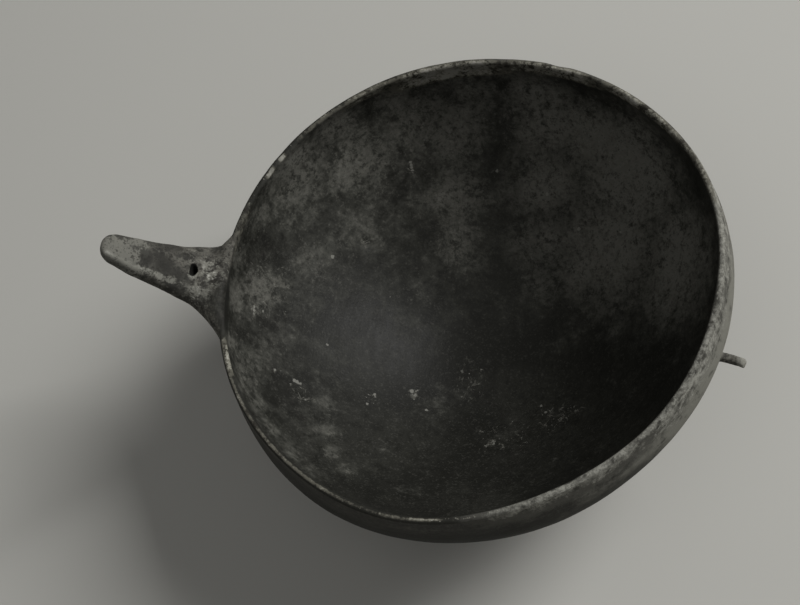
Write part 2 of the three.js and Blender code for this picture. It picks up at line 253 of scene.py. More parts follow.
# The bowl's profile, as radius and height along its arc: from the middle of the underside, up
# the outside, over the lip and down to the middle of the floor.
# Below the belly, radius = belly (1 - k^n)^(1/n), with k the depth below the belly as a share of
# the curve's full depth. Above it the wall draws in with the square of the height. The lip is
# half round, and the inside is the outside moved in by the wall's thickness.
def bowlProfile(form):
    belly = form["rimRadius"] + form["bellySwell"]
    bellyHeight = bowlHeight - form["bellyBelowRim"]
    power = form["lowerWallFullness"]
    lipHalf = form["lipThickness"] / 2
    lipCentre = bowlHeight - lipHalf
    footShare = (1 - (form["footRadius"] / belly) ** power) ** (1 / power)
    curveDepth = bellyHeight / footShare

    share = np.cos(np.linspace(0, math.pi / 2, form["curvePoints"]))
    climb = np.linspace(0, 1, form["climbPoints"])[1:]
    radius = np.concatenate([
        belly * (1 - share ** power) ** (1 / power),
        belly - (form["bellySwell"] - lipHalf) * climb ** 2,
    ])
    height = np.concatenate([
        bellyHeight - share * curveDepth,
        bellyHeight + climb * (lipCentre - bellyHeight),
    ])

    along = np.stack([np.gradient(radius), np.gradient(height)])
    along /= np.hypot(*along)
    taper = smoothStep(height, lipCentre - form["lipTaperHeight"], lipCentre)
    thickness = form["wallThickness"] + (form["lipThickness"] - form["wallThickness"]) * taper
    insideRadius = radius - along[1] * thickness
    floor = form["floorThickness"] - form["floorDip"]
    floor = floor + form["floorDip"] * (insideRadius / form["footRadius"]) ** 2
    insideHeight = softMax(height + along[0] * thickness, floor, form["floorBlend"])
    kept = insideRadius > 1  # the floor's middle closes the profile
    insideRadius = np.concatenate([[0], insideRadius[kept]])
    insideHeight = np.concatenate([[insideHeight[kept][0]], insideHeight[kept]])

    footed = softMax(height, 0, form["footBlend"])
    footed = footed - footed[0] * (1 - smoothStep(height, 0, form["footRubbed"]))
    over = np.linspace(0, math.pi, form["lipPoints"])
    lipRadius = form["rimRadius"] + lipHalf * np.cos(over)
    lipHeight = lipCentre + lipHalf * np.sin(over)
    radius = np.concatenate([radius[:-1], lipRadius, insideRadius[-2::-1]])
    height = np.concatenate([footed[:-1], lipHeight, insideHeight[-2::-1]])

    step = np.hypot(np.diff(radius), np.diff(height))
    arc = np.concatenate([[0], np.cumsum(step)])
    slopeRadius, slopeHeight = np.gradient(radius, arc), np.gradient(height, arc)
    crest = arc[len(footed) - 1 + len(over) // 2]
    return {
        "arc": arc,
        "radius": radius,
        "height": height,
        "outRadius": slopeHeight,
        "outHeight": -slopeRadius,
        "crest": crest,
        "end": arc[-1],
    }


profile = bowlProfile(bowlForm)


# What the radius is times, at a direction in radians and a height:
# 1 + ((oval + lobes) * height / bowl height - drawn in) / rim radius.
def roundShare(direction, height):
    form = bowlForm
    oval = form["ovalSwing"] * np.cos(2 * (direction - math.radians(form["ovalDirection"])))
    lobes = form["lobeSwing"] * np.cos(3 * (direction - math.radians(form["lobeDirection"])))
    pull = form["drawnIn"]
    uneven = pull["unevenness"] * np.cos(pull["pulls"] * (direction - math.radians(pull["deepest"])))
    drawn = (pull["depth"] + uneven) * sectorShare(direction, pull["towards"], pull["spread"], power=6)
    drawn = drawn * smoothStep(height, bowlHeight - form["bellyBelowRim"], bowlHeight - pull["belowCrest"])
    return 1 + ((oval + lobes) * height / bowlHeight - drawn) / rimRadius


# The finished clay surface at a direction, in radians, and an arc of the profile, with the
# profile's normal. The profile is turned out of round, and then moved along its normal: out by a
# share of the swells, and in by depth * exp(-distance^3) at a flake, with the distance in its half
# sizes, and by depth * exp(-(distance / radius)^4) at a dent.
def claySurface(direction, arc):
    form = bowlForm
    direction, arc = np.broadcast_arrays(direction, arc)
    radius, height, outRadius, outHeight = (
        np.interp(arc, profile["arc"], profile[key])
        for key in ("radius", "height", "outRadius", "outHeight")
    )
    radius = radius * roundShare(direction, height)
    outwards = np.stack([np.cos(direction), np.sin(direction)], -1)
    points = np.concatenate([outwards * radius[..., None], height[..., None]], -1)
    normals = np.concatenate([outwards * outRadius[..., None], outHeight[..., None]], -1)

    fromCrest = arc - profile["crest"]
    calmFrom, calmTo, calmShare = form["calmNearLip"]
    lively = smoothStep(np.abs(fromCrest), calmFrom, calmTo) * (1 - calmShare) + calmShare
    relief = np.full(arc.shape, form["swellsOut"]) * lively
    for spacing, depth, seed in form["swells"]:
        relief -= depth * lively * (0.5 - 0.5 * handField(points, spacing, seed))
    raggedness, spacing, seed = form["flakeRaggedness"]
    ragged = 1 + raggedness * handField(points, spacing, seed)
    for towards, across, halfLength, halfWidth, depth in form["flakes"]:
        beside = turnFrom(towards, direction) * rimRadius
        distance = np.hypot(beside / halfLength, (fromCrest - across) / halfWidth)
        relief -= depth * ragged * np.exp(-distance ** 3)
    for place, size, depth in form["dents"]:
        relief -= depth * np.exp(-(np.linalg.norm(points - np.array(place), axis=-1) / size) ** 4)
    standing = smoothStep(height, *form["footFlat"])
    inside = smoothStep(fromCrest, 0, 1)
    points = points + normals * (relief * np.maximum(standing, inside))[..., None]

    circle = np.stack([np.cos(direction), np.sin(direction), 0 * direction], -1) * rimRadius
    wavesFrom, wavesTo = form["lipWaveEnds"]
    for spacing, rise, seed in form["lipWaves"]:
        fading = 1 - smoothStep(np.abs(fromCrest), wavesFrom, wavesTo * spacing)
        points[..., 2] += rise * handField(circle, spacing, seed) * fading
    return points, normals


# The bowl's skin is the clay surface over all directions round it and arcs along its profile.
def makeBowl(form):
    crest, end = profile["crest"], profile["end"]
    # Rows of the mesh along the profile: from, to and how many, closest over the lip
    stretches = [
        (1.5, 34, 7), (34, 60, 14), (60, crest - 22, 50), (crest - 22, crest - 4, 16),
        (crest - 4, crest + 4, 17), (crest + 4, crest + 22, 17), (crest + 22, end - 40, 66),
        (end - 40, end - 2, 13),
    ]
    arcs = np.concatenate([np.linspace(a, b, n, endpoint=False) for a, b, n in stretches])
    directions = np.linspace(0, math.tau, form["pointsAround"], endpoint=False)
    points, _ = claySurface(directions[None, :], arcs[:, None])
    firstPole = [0, 0, points[0, :, 2].mean()]
    lastPole = [0, 0, points[-1, :, 2].mean()]
    mesh = skinMesh("burnishedBowl", points, firstPole, lastPole)
    allPoints, _ = readPoints(mesh)
    rows = np.broadcast_to(arcs[:, None] - crest, points.shape[:2]).ravel()
    fromCrest = np.concatenate([rows, [-crest, end - crest]])
    storeValues(mesh, fromCrest=fromCrest, **wallMasks(allPoints, fromCrest))
    return addObject("burnishedBowl", mesh)


# Where the wall is worn, clouded, crusted or smoked, from 0 to 1, at points of the bowl or of what is
# smeared onto it; part of the clouding is painted light, and part of the smoke is painted shade.
# Spots are soft balls: place, radius, strength. Bands follow the rim: direction, half spread in
# degrees, strength, and where they lie between, as a distance from the crest that is above zero inside.
wallWear = {
    # Pale smoky bloom where the gloss is lost inside, partly painted light: the strongest spots on the +x
    # side are a painted reflection, and those high on the +y side are painted light
    "bloomAndPaintedLightSpots": [
        ((-150, 10, 108), 28, 0.95), ((-156, -4, 128), 16, 1.0), ((-156, 22, 138), 18, 0.85),
        ((-150, -42, 134), 18, 0.95), ((-136, -74, 134), 20, 0.75), ((-116, -100, 132), 20, 0.55),
        ((-146, 56, 138), 24, 0.8), ((-126, 92, 138), 26, 1.2), ((-98, 122, 138), 26, 1.2),
        ((-62, 144, 134), 26, 1.1), ((-10, 154, 122), 34, 0.95), ((36, 150, 120), 34, 1.2),
        ((96, 122, 126), 30, 0.8), ((-142, -14, 98), 42, 0.54), ((-146, -46, 112), 30, 0.66),
        ((-118, -76, 90), 30, 0.4), ((-88, -106, 86), 26, 0.45), ((-145, -59, 124), 17, 0.85),
        ((-135, -76, 120), 16, 0.85), ((-124, -92, 115), 16, 0.8), ((-109, -107, 111), 15, 0.72),
        ((-93, -119, 108), 14, 0.62), ((-104, -62, 70), 12, 0.82), ((-98, -80, 76), 12, 0.8),
        ((-91, -98, 83), 11, 0.88), ((-79, -110, 84), 12, 0.82), ((-122, 42, 80), 32, 0.74),
        ((-102, 70, 75), 28, 0.72), ((-130, 88, 126), 42, 0.98), ((-92, 114, 102), 44, 1.02),
        ((-46, 142, 106), 46, 1.0), ((0, 148, 104), 40, 0.6), ((-50, 102, 66), 48, 0.6),
        ((-58, 40, 34), 44, 0.5), ((98, 98, 92), 52, 1.6), ((80, 64, 52), 54, 1.45),
        ((128, 34, 84), 46, 1.5), ((-26, 140, 96), 34, 1.2), ((-28, 108, 60), 32, 1.12),
        ((-31, 78, 38), 28, 0.98), ((38, 140, 100), 34, 1.36), ((36, 112, 66), 33, 1.34),
        ((32, 78, 38), 30, 1.16), ((32, 52, 25), 24, 0.95), ((60, 56, 37), 30, 1.28),
        ((72, 126, 99), 34, 1.5), ((-40, -24, 22), 40, 0.2), ((30, -60, 26), 36, 0.26),
    ],
    # Clusters of small lime flecks inside
    "fleckSpots": [
        ((-18, -18, 11), 24, 0.85), ((48, -48, 28), 26, 0.95), ((10, -66, 28), 30, 0.85),
        ((-20, 0, 11), 10, 0.9), ((-56, -34, 26), 12, 0.95), ((-82, -46, 44), 9, 1.0),
        ((-151, -6, 110), 7, 1.15), ((-94, 69, 64), 6, 1.0), ((-61, 118, 81), 6, 0.95),
        ((-120, -56, 82), 18, 0.85), ((-92, 114, 100), 30, 0.66), ((80, 118, 94), 40, 0.7),
        ((92, 44, 60), 44, 0.55), ((-140, 20, 100), 34, 0.7),
    ],
    # Lime crust on the outside: direction, half spread, strength, and how far down it reaches
    "crustSectors": [
        (-24, 30, 1.0, 60), (12, 32, 1.0, 60), (-60, 26, 1.0, 17), (64, 40, 0.6, 30), (-165, 22, 0.3, 30),
    ],
    # Thin lime haze under the crust: direction, half spread, and how far below the crest it is
    # full, starts to fade and ends
    "haze": (-14, 48, 20, 30, 118),
    # The handle's clay on the wall, which stains a little more of it, and how softly it ends
    "smear": {**rootSmear, "above": 17, "ends": (0.6, 1.5)},
    "insideFrom": (-0.4, 1.6),  # the inside's finish starts between these distances from the crest
    "crustEnds": (1.2, 4),  # and the crust ends between these
    "crustCrown": (0.28, 16),  # this share of the crust keeps to this distance below the crest
    "lipWidth": 3.2,
    "bandSoftness": (0.8, 0.12),  # of a band's ends: in millimetres, and as a share of its width
    # The worn lip
    "lipBands": [
        (-132, 34, 0.9, -1.3, 1.5),
        (-92, 4, 1.3, -0.8, 1.2),
        (-98, 12, 0.7, -1.5, 1.4),
        (26, 14, 1.0, -2, 3.6),
        (46, 16, 1.12, -2, 8.5),
        (72, 16, 1.15, -1.6, 12.5),
        (98, 18, 1.25, -1.2, 18),
        (118, 10, 1.0, -1.2, 10),
        (132, 10, 0.75, -1, 3.2),
        (145.5, 1.3, 1.5, -0.8, 4.2),
        (150.4, 1.9, 1.5, -0.8, 4.6),
        (-158, 6, 1.15, -1.5, 6),
        (168, 12, 0.75, -2, 9),
    ],
    # Smoky dark bands, partly painted shade, most of all on the near side's outer wall below the rim and on
    # the lip beside the handle's root
    "sootAndPaintedShadeBands": [
        (-172, 7, 1.3, -2.2, 13),
        (140, 26, 0.45, -3, 4),
        (4, 44, 0.5, 2, 26),
        (-60, 40, 0.9, 3, 44),
        (-96, 28, 0.7, 3, 70),
        # The next three darken the outer wall below the rim as painted shade
        (-98, 42, 1.0, -100, -14),
        (-55, 19, 0.95, -100, -20),
        (-140, 26, 0.8, -100, -4),
    ],
}


# The strongest of the spots: strength * exp(-(distance / radius)^2).
def spots(points, places):
    total = np.zeros(len(points))
    for centre, radius, strength in places:
        distance = np.linalg.norm(points - np.array(centre), axis=1)
        total = np.maximum(total, strength * np.exp(-(distance / radius) ** 2))
    return total


# The strongest of the bands: strength * soft start * soft end * what is left of it in this
# direction.
def bands(direction, fromCrest, places):
    least, share = wallWear["bandSoftness"]
    total = np.zeros(len(direction))
    for towards, spread, strength, low, high in places:
        soft = least + share * (high - low)
        started = smoothStep(fromCrest, low - soft, low + soft)
        ended = smoothStep(fromCrest, high - soft, high + soft)
        sector = sectorShare(direction, towards, spread, power=4)
        total = np.maximum(total, strength * started * (1 - ended) * sector)
    return total


# All masks of the wall by their names. The crust fades down the wall by exp(-(depth / reach)^2),
# the haze rises below the crest and fades out, and the handle's clay ends round
# sideways^p + down^q = 1, each as a share of the smear's reach to that side.
def wallMasks(points, fromCrest):
    wear = wallWear
    direction = np.arctan2(points[:, 1], points[:, 0])
    inside = smoothStep(fromCrest, *wear["insideFrom"])
    towardsHaze, hazeSpread, hazeFull, hazeFades, hazeEnd = wear["haze"]
    haze = smoothStep(-fromCrest, 0, hazeFull) * (1 - smoothStep(-fromCrest, hazeFades, hazeEnd))
    smear = wear["smear"]
    sideways = turnFrom(180, direction) * rimRadius
    lower = -fromCrest - smear["drop"]
    sideShare = np.abs(sideways) / np.where(sideways > 0, smear["near"], smear["far"])
    lowerShare = np.abs(lower) / np.where(lower > 0, smear["below"], smear["above"])
    sidePower, lowerPower = smear["powers"]
    crust = np.zeros(len(points))
    below = np.maximum(-fromCrest, 0)
    crownShare, crownReach = wear["crustCrown"]
    crown = 1 - crownShare + crownShare * np.exp(-(below / crownReach) ** 2)
    for towards, spread, strength, reach in wear["crustSectors"]:
        fading = np.exp(-(below / reach) ** 2) * crown
        crust = np.maximum(crust, strength * fading * sectorShare(direction, towards, spread, power=4))
    return {
        "inside": inside,
        "bloomAndPaintedLight": spots(points, wear["bloomAndPaintedLightSpots"]) * inside,
        "flecked": spots(points, wear["fleckSpots"]) * inside,
        "crust": crust * (1 - smoothStep(fromCrest, *wear["crustEnds"])),
        "haze": haze * sectorShare(direction, towardsHaze, hazeSpread, power=2),
        "crestWear": bands(direction, fromCrest, wear["lipBands"]),
        "sootAndPaintedShade": bands(direction, fromCrest, wear["sootAndPaintedShadeBands"]),
        "horn": 1 - smoothStep(sideShare ** sidePower + lowerShare ** lowerPower, *smear["ends"]),
        "lip": np.exp(-(fromCrest / wear["lipWidth"]) ** 2),
    }


cameraAxes = placeCamera(cameraPlace, rimRadius, bowlHeight)
bowl = makeBowl(bowlForm)
print("bowl made,", len(bowl.data.polygons), "faces")


# Handle: a flattened horn that rises from the lip, with the clay round its root smeared into
# the wall, and a string hole straight down through it. Its line and its main sizes are the CAD's.
handleForm = {
    "reach": 63.5,
    "rise": 48,
    "rootDrop": 9.5,
    "rootSlope": 26,
    "tipSlope": 54,
    "rootPull": 18,
    "tipPull": 37,
    "rootWidth": 44,
    "tipWidth": 16,
    "widthTaper": 0.95,
    "rootThickness": 16,
    "tipThickness": 11,
    "tipRounding": 10,
    "bluntness": 2.5,
    "squareness": 2.45,
    "nearEdge": (1.3, 52, 34),  # squarer by this power at this angle up from the near side, half spread
    "nearSwell": 0.6,  # the near side stands out by twice this much more than the far side
    "rootSwell": 1.9,  # clay rubbed along the root makes it this much wider on each side
    "rootSwellUp": 0.3,  # and this share of that thicker
    "rootSwellEnds": (12, 38),
    # Where the smeared clay leaves the horn, and how far it levels out on the wall
    "leaves": {"near": 25, "far": 16, "above": 13, "below": 22},
    "levelsOut": {"near": 14, "far": 9, "above": 7, "below": 11},
    "leavingPull": 0.4,  # as a share of the distance where it leaves
    # Its hidden rim in the wall, from the middle out: share of the landing, further out, depth
    "buried": [(0.35, 0, 1.7), (0.7, 0, 1.7), (1, 2.6, 1.6), (1, 3.2, 1.0), (1, 2.0, 0.35)],
    "holeSize": (3.3, 6.1),  # along the handle and across it
    "holeReach": 16,  # beyond the crest
    "holeSideways": 0.5,
    "holeMiddle": 149,  # height where it is narrowest
    "holeFlare": (0.4, 8, 3),  # worn wider by this much at this height from there, and at most
    "holeWobble": [(2, 0.05, 0.6), (3, 0.04, 0)],  # waves round it, share of its size, turn
    "holeCut": 34,  # half the cutter's length
    "holePoints": (48, 41),  # round the cutter and along it
    "voxel": 0.55,
    "softening": (0.5, 5),  # factor and rounds
    "dents": [(17, 0.5, 41), (6.5, 0.2, 42), (2.4, 0.09, 43)],  # spacing, depth, seed
    "settled": 0.1,  # the dents go this much further in than out
    "dentsFrom": (0.6, 7),  # they start between these distances from the wall
    "linePoints": 400,
    "pointsAround": 112,
    "smearRows": 26,
    "hornRows": 60,
    "tipRows": 14,
    "tipEnd": 84,  # degrees round the tip where the last row lies
}
towardsNear = np.array([0.0, -1.0, 0.0])


# The horn's middle line: a cubic curve from the root at the lip to the tip, by its length.
def middleLine(form):
    def slope(degrees):
        turn = math.radians(degrees)
        return np.array([-math.cos(turn), 0, math.sin(turn)])

    root = np.array([-rimRadius, 0, bowlHeight - form["rootDrop"]])
    tip = np.array([-rimRadius - form["reach"], 0, bowlHeight + form["rise"]])
    rootArm = root + slope(form["rootSlope"]) * form["rootPull"]
    tipArm = tip - slope(form["tipSlope"]) * form["tipPull"]
    t = np.linspace(0, 1, form["linePoints"])[:, None]
    points = cubicCurve(root, rootArm, tipArm, tip, t)
    length = np.concatenate([[0], np.cumsum(np.linalg.norm(np.diff(points, axis=0), axis=1))])
    tangent = np.gradient(points, length, axis=0)
    tangent /= np.linalg.norm(tangent, axis=1)[:, None]
    return {"points": points, "length": length, "tangent": tangent, "end": length[-1]}


hornLine = middleLine(handleForm)


# Middle, upward direction and half sizes of the horn's section at a distance along it. A distance
# below zero lies inside the wall, straight behind the root.
def hornFrame(distance):
    form = handleForm
    centre, along = (
        np.stack([np.interp(distance, hornLine["length"], hornLine[key][:, axis]) for axis in range(3)], -1)
        for key in ("points", "tangent")
    )
    centre = centre + along * np.minimum(distance, 0)[..., None]
    up = np.cross(along, towardsNear)
    share = np.clip(distance / hornLine["end"], 0, 1)
    width = form["tipWidth"] + (form["rootWidth"] - form["tipWidth"]) * (1 - share) ** form["widthTaper"]
    thickness = form["rootThickness"] + (form["tipThickness"] - form["rootThickness"]) * share
    swell = form["rootSwell"] * (1 - smoothStep(distance, *form["rootSwellEnds"]))
    centre = centre + towardsNear * form["nearSwell"]
    halfWidth = width / 2 + swell + form["nearSwell"]
    return centre, up, halfWidth, thickness / 2 + swell * form["rootSwellUp"]


# A point on the horn: an oval section |x|^n + |y|^n = 1, which closes at the tip as half an oval
# seen from the side and as a blunter one seen from above.
def hornSurface(distance, angle):
    form = handleForm
    distance, angle = np.broadcast_arrays(distance, angle)
    centre, up, halfWidth, halfThickness = hornFrame(distance)
    past = np.clip((distance - hornLine["end"]) / form["tipRounding"] + 1, 0, 1)
    closing = np.sqrt(1 - past ** 2)
    blunt = (1 - past ** form["bluntness"]) ** (1 / form["bluntness"])
    squarer, middle, spread = form["nearEdge"]
    edge = np.exp(-((angle - math.radians(middle)) / math.radians(spread)) ** 2)
    power = 2 / (form["squareness"] + squarer * edge)
    across = signedPower(np.cos(angle), power) * halfWidth * blunt
    rise = signedPower(np.sin(angle), power) * halfThickness * closing
    return centre + towardsNear * across[..., None] + up * rise[..., None]


# A size that differs between the four sides, blended round the section by the squares of the
# angle's sine and cosine.
def bySide(sizes, angle):
    near, far = np.maximum(np.cos(angle), 0) ** 2, np.maximum(-np.cos(angle), 0) ** 2
    above, below = np.maximum(np.sin(angle), 0) ** 2, np.maximum(-np.sin(angle), 0) ** 2
    return sizes["near"] * near + sizes["far"] * far + sizes["above"] * above + sizes["below"] * below


# A place on the wall round the root: sideways along the rim towards -y, and down from the crest.
def rootPlace(sideways, down):
    return claySurface(sideways / rimRadius - math.pi, profile["crest"] - down)


# The smeared clay round the root: at each angle a cubic curve that leaves along the horn and
# levels out on the wall, and then a rim that dives into the wall and closes inside it.
def rootRows(form, angle):
    sidePower, downPower = rootSmear["powers"]
    sideSize = np.where(np.cos(angle) > 0, rootSmear["near"], rootSmear["far"])
    downSize = np.where(np.sin(angle) > 0, rootSmear["above"], rootSmear["below"])
    sideways = sideSize * signedPower(np.cos(angle), 2 / sidePower)
    down = rootSmear["drop"] - downSize * signedPower(np.sin(angle), 2 / downPower)
    landing, _ = rootPlace(sideways, down)
    step = 0.5
    beside, _ = rootPlace(sideways + step, down)
    lower, _ = rootPlace(sideways, down + step)
    sideStep, downStep = (beside - landing) / step, (lower - landing) / step
    outwards = np.stack([sideways / sideSize ** 2, (down - rootSmear["drop"]) / downSize ** 2], -1)
    outwards /= np.linalg.norm(outwards, axis=1)[:, None]
    level = sideStep * outwards[:, :1] + downStep * outwards[:, 1:]

    leavesAt = bySide(form["leaves"], angle)
    leaving = hornSurface(leavesAt, angle)
    heading = hornSurface(leavesAt - step, angle) - leaving
    heading /= np.linalg.norm(heading, axis=1)[:, None]
    first = leaving + heading * form["leavingPull"] * leavesAt[:, None]
    second = landing - level * bySide(form["levelsOut"], angle)[:, None]
    t = np.linspace(1, 0, form["smearRows"])[:, None, None]
    smeared = cubicCurve(leaving, first, second, landing, t)

    buried = []
    for shrink, spread, depth in form["buried"]:
        place = sideways * shrink + outwards[:, 0] * spread
        below = rootSmear["drop"] + (down - rootSmear["drop"]) * shrink + outwards[:, 1] * spread
        point, inwards = rootPlace(place, below)
        buried.append(point - inwards * depth)
    return np.concatenate([buried, smeared])


# The string hole's cutter: an oval rod, wobbly round its outline, that widens with the cube of
# the height from its narrowest place.
def holeCutter(form):
    around, along = form["holePoints"]
    turn = np.linspace(0, math.tau, around, endpoint=False)
    height = np.linspace(-form["holeCut"], form["holeCut"], along)
    wider, atHeight, most = form["holeFlare"]
    flare = np.minimum(wider * (np.abs(height) / atHeight) ** 3, most)[:, None]
    wobble = 1 + sum(share * np.cos(waves * turn + start) for waves, share, start in form["holeWobble"])
    x = -rimRadius - form["holeReach"] + (form["holeSize"][0] / 2 * wobble + flare) * np.cos(turn)
    y = -form["holeSideways"] + (form["holeSize"][1] / 2 * wobble + flare) * np.sin(turn)
    z = np.broadcast_to(form["holeMiddle"] + height[:, None], x.shape)
    points = np.stack([x, y, z], -1)
    return addObject("holeCutter", skinMesh("holeCutter", points, points[0].mean(0), points[-1].mean(0)))


# How far points stand off the bowl's profile, and how far its closest place is from the crest.
def standOff(points):
    direction = np.arctan2(points[:, 1], points[:, 0])
    radius = np.hypot(points[:, 0], points[:, 1]) / roundShare(direction, points[:, 2])
    reach, every = 70, 3  # of the profile's points: how far from the crest, and which ones
    near = np.abs(profile["arc"] - profile["crest"]) < reach
    arcs, radii, heights = (profile[key][near][::every] for key in ("arc", "radius", "height"))
    gap = np.hypot(radius[:, None] - radii, points[:, 2:] - heights)
    nearest = gap.argmin(axis=1)
    return gap[np.arange(len(points)), nearest], arcs[nearest] - profile["crest"]


# Where each point lies on the horn: distance along it, and across and up as shares of the
# section's half sizes.
def hornPlace(points):
    every = slice(None, None, 4)  # of the line's points
    gap = np.linalg.norm(points[:, None] - hornLine["points"][every][None], axis=2)
    distance = hornLine["length"][every][gap.argmin(axis=1)]
    centre, up, halfWidth, halfThickness = hornFrame(distance)
    offset = points - centre
    return distance, offset @ towardsNear / halfWidth, (offset * up).sum(1) / halfThickness


# Wear of the handle, in distances along the horn and shares of its section: a pale rubbed tip,
# a pale rubbed edge on the near side, lime crust round the hole and root, dark fire patches, and painted
# shade in the string hole.
handleWear = {
    "tipAlong": (36, 74),
    "tipUp": (-0.9, 0.1),
    "edgeAlong": (4, 16),
    "edgeAcross": (0.64, 0.24),  # middle and half spread
    "edgeUp": (0.7, 0.4),
    "paintedHoleShadeEnds": (1.3, 1.75),  # the painted shade in the string hole fades out between these many times the hole's size
    "crustRaggedness": (0.35, 3.4, 44),  # strength, spacing, seed
    "crustFlakes": (0.45, 0.6),  # the levels that a flake starts and is whole at
    "crustThickness": 0.22,
    # Distances from the wall between which its flakes, its stain and the horn's finish start
    "flakesFrom": (0.6, 3),
    "crustFrom": (0.2, 2),
    "hornFrom": (0.4, 4),
    "crustSpots": [
        ((-169, 4, 154), 7, 0.9), ((-165, -2, 152), 7, 0.95), ((-173, -14, 155), 8, 1.0),
        ((-167, -15, 151), 8, 0.9), ((-176, -5, 159), 5, 1.0), ((-180, -12, 161), 7, 0.65),
        ((-189, -12, 167), 7, 0.6), ((-197, -9, 174), 7, 0.5), ((-170, 9, 155), 6, 0.6),
        ((-163, 8, 151), 6, 0.7), ((-161, -8, 150), 7, 0.9), ((-164, -17, 150), 7, 0.85),
        ((-163, -26, 148), 6, 0.7),
    ],
    "darkSpots": [
        ((-206, 3, 186), 8, 0.8), ((-200, -1, 180), 8, 1.1), ((-191, -3, 172), 11, 0.95),
        ((-210, 8, 188), 6, 0.8), ((-183, -7, 165), 9, 0.9), ((-164, 18, 149), 12, 0.6),
        ((-190, 13, 167), 10, 0.8), ((-200, 11, 178), 8, 0.7), ((-215, 9, 192), 5, 0.9),
        ((-220, 6, 196), 4, 0.75),
    ],
}


# The handle's skin runs from its hidden rim in the wall over the smeared clay and the horn to the
# tip. The string hole is cut through it, and it is made even, softened and dented by hand fields
# along its normals.
def makeHandle(form):
    angle = np.linspace(0, math.tau, form["pointsAround"], endpoint=False)
    root = rootRows(form, angle)
    leavesAt = bySide(form["leaves"], angle)
    straight = hornLine["end"] - form["tipRounding"]
    share = np.linspace(0, 1, form["hornRows"])[1:, None]
    distance = leavesAt + (straight - leavesAt) * share
    over = np.radians(np.linspace(0, form["tipEnd"], form["tipRows"])[1:])
    cap = straight + form["tipRounding"] * np.sin(over)[:, None]
    distance = np.concatenate([distance, np.broadcast_to(cap, (len(cap), len(angle)))])
    rows = np.concatenate([root, hornSurface(distance, angle[None, :])])
    piece = addObject("hornHandle", skinMesh("hornHandle", rows, rows[0].mean(0), hornLine["points"][-1]))

    cutter = holeCutter(form)
    cut = piece.modifiers.new("stringHole", "BOOLEAN")
    cut.operation, cut.solver, cut.object = "DIFFERENCE", "EXACT", cutter
    even = piece.modifiers.new("evenClay", "REMESH")
    even.mode, even.voxel_size = "VOXEL", form["voxel"] * mm
    soften = piece.modifiers.new("softenedEdges", "SMOOTH")
    soften.factor, soften.iterations = form["softening"]
    bpy.context.view_layer.update()
    shaped = piece.evaluated_get(bpy.context.evaluated_depsgraph_get())
    mesh = bpy.data.meshes.new_from_object(shaped)
    piece.modifiers.clear()
    bpy.data.objects.remove(cutter)
    plain = piece.data
    piece.data = mesh
    bpy.data.meshes.remove(plain)
    mesh.name = "hornHandle"

    points, normals = readPoints(mesh)
    gap, fromCrest = standOff(points)
    free = smoothStep(gap, *form["dentsFrom"])
    relief = sum(depth * handField(points, spacing, seed) for spacing, depth, seed in form["dents"])
    wear = handleWear
    crust = spots(points, wear["crustSpots"])
    raggedness, spacing, seed = wear["crustRaggedness"]
    flaky = smoothStep(crust + raggedness * handField(points, spacing, seed), *wear["crustFlakes"])
    relief = (relief - form["settled"]) * free
    relief += wear["crustThickness"] * flaky * smoothStep(gap, *wear["flakesFrom"])
    mesh.vertices.foreach_set("co", ((points + normals * relief[:, None]) * mm).astype(np.float32).ravel())
    mesh.update()
    mesh.shade_smooth()

    distance, across, up = hornPlace(points)
    offAxis = np.hypot(
        (points[:, 0] + rimRadius + form["holeReach"]) / form["holeSize"][0],
        (points[:, 1] + form["holeSideways"]) / form["holeSize"][1],
    ) * 2
    (middle, spread), (high, highSpread) = wear["edgeAcross"], wear["edgeUp"]
    edge = np.exp(-((across - middle) / spread) ** 2 - ((up - high) / highSpread) ** 2)
    masks = wallMasks(points, fromCrest)
    masks["horn"] = np.maximum(masks["horn"], smoothStep(gap, *wear["hornFrom"]))
    storeValues(
        mesh,
        fromCrest=fromCrest,
        paleTip=smoothStep(distance, *wear["tipAlong"]) * smoothStep(up, *wear["tipUp"]),
        rubbedEdge=edge * smoothStep(distance, *wear["edgeAlong"]),
        handleCrust=crust * smoothStep(gap, *wear["crustFrom"]),
        # Painted shade in the string hole: dark round its axis and fading at its mouths
        fireDark=spots(points, wear["darkSpots"]),
        inHole=1 - smoothStep(offAxis, *wear["paintedHoleShadeEnds"]),
        **masks,
    )
    return piece


handle = makeHandle(handleForm)
print("handle made,", len(handle.data.polygons), "faces")


# Peg lug: a thin rod of clay pushed through the wall and smeared in at its root, its end broken
# and worn. Its place, thickness and reach are the CAD's.
pegForm = {
    "direction": -15,
    "belowRim": 43,
    "diameter": 6.2,
    "reach": 19.5,
    "droop": 1,
    "tipDroop": 2.0,  # the worn end droops a little more
    "smearLength": 4.6,
    "smearLanding": 7.2,  # radius where the smeared clay runs out on the wall
    "smearCorner": 0.4,  # the smear's curve bends towards a corner this far beside the rod
    # Its hidden rim in the wall, from the middle out: radius beyond the landing, depth
    "buried": [(-5.7, 1.8), (-3.2, 1.8), (0.8, 1.2), (0.6, 0.4)],
    "tipRounding": 1.7,
    "tipPower": 0.7,
    "tipEnd": 85,  # degrees round the tip where the last row lies
    "brokenOff": 1.1,
    "brokenIn": 0.6,  # the break's middle lies this much deeper
    "breakLength": 1.5,  # along the rod, before the rounding
    "breakSlope": 0.9,  # the broken end leans back by this much on one side
    "breakRoughness": (0.8, 1.7, 53),  # depth, spacing, seed
    "swells": [(7, 0.22, 51), (2.2, 0.1, 52)],  # spacing, height, seed
    "swellsFrom": (1, 4),  # they start between these distances from the wall
    "hornFrom": (0.4, 5),  # and its finish between these
    "rubbedThinner": 0.25,
    "paleFrom": 0.45,  # as a share of the reach
    "rubbedEnd": (8, 0.9),  # length, strength
    "pointsAround": 72,
    "smearRows": 14,
    "rodRows": 24,
    "tipRows": 12,
}


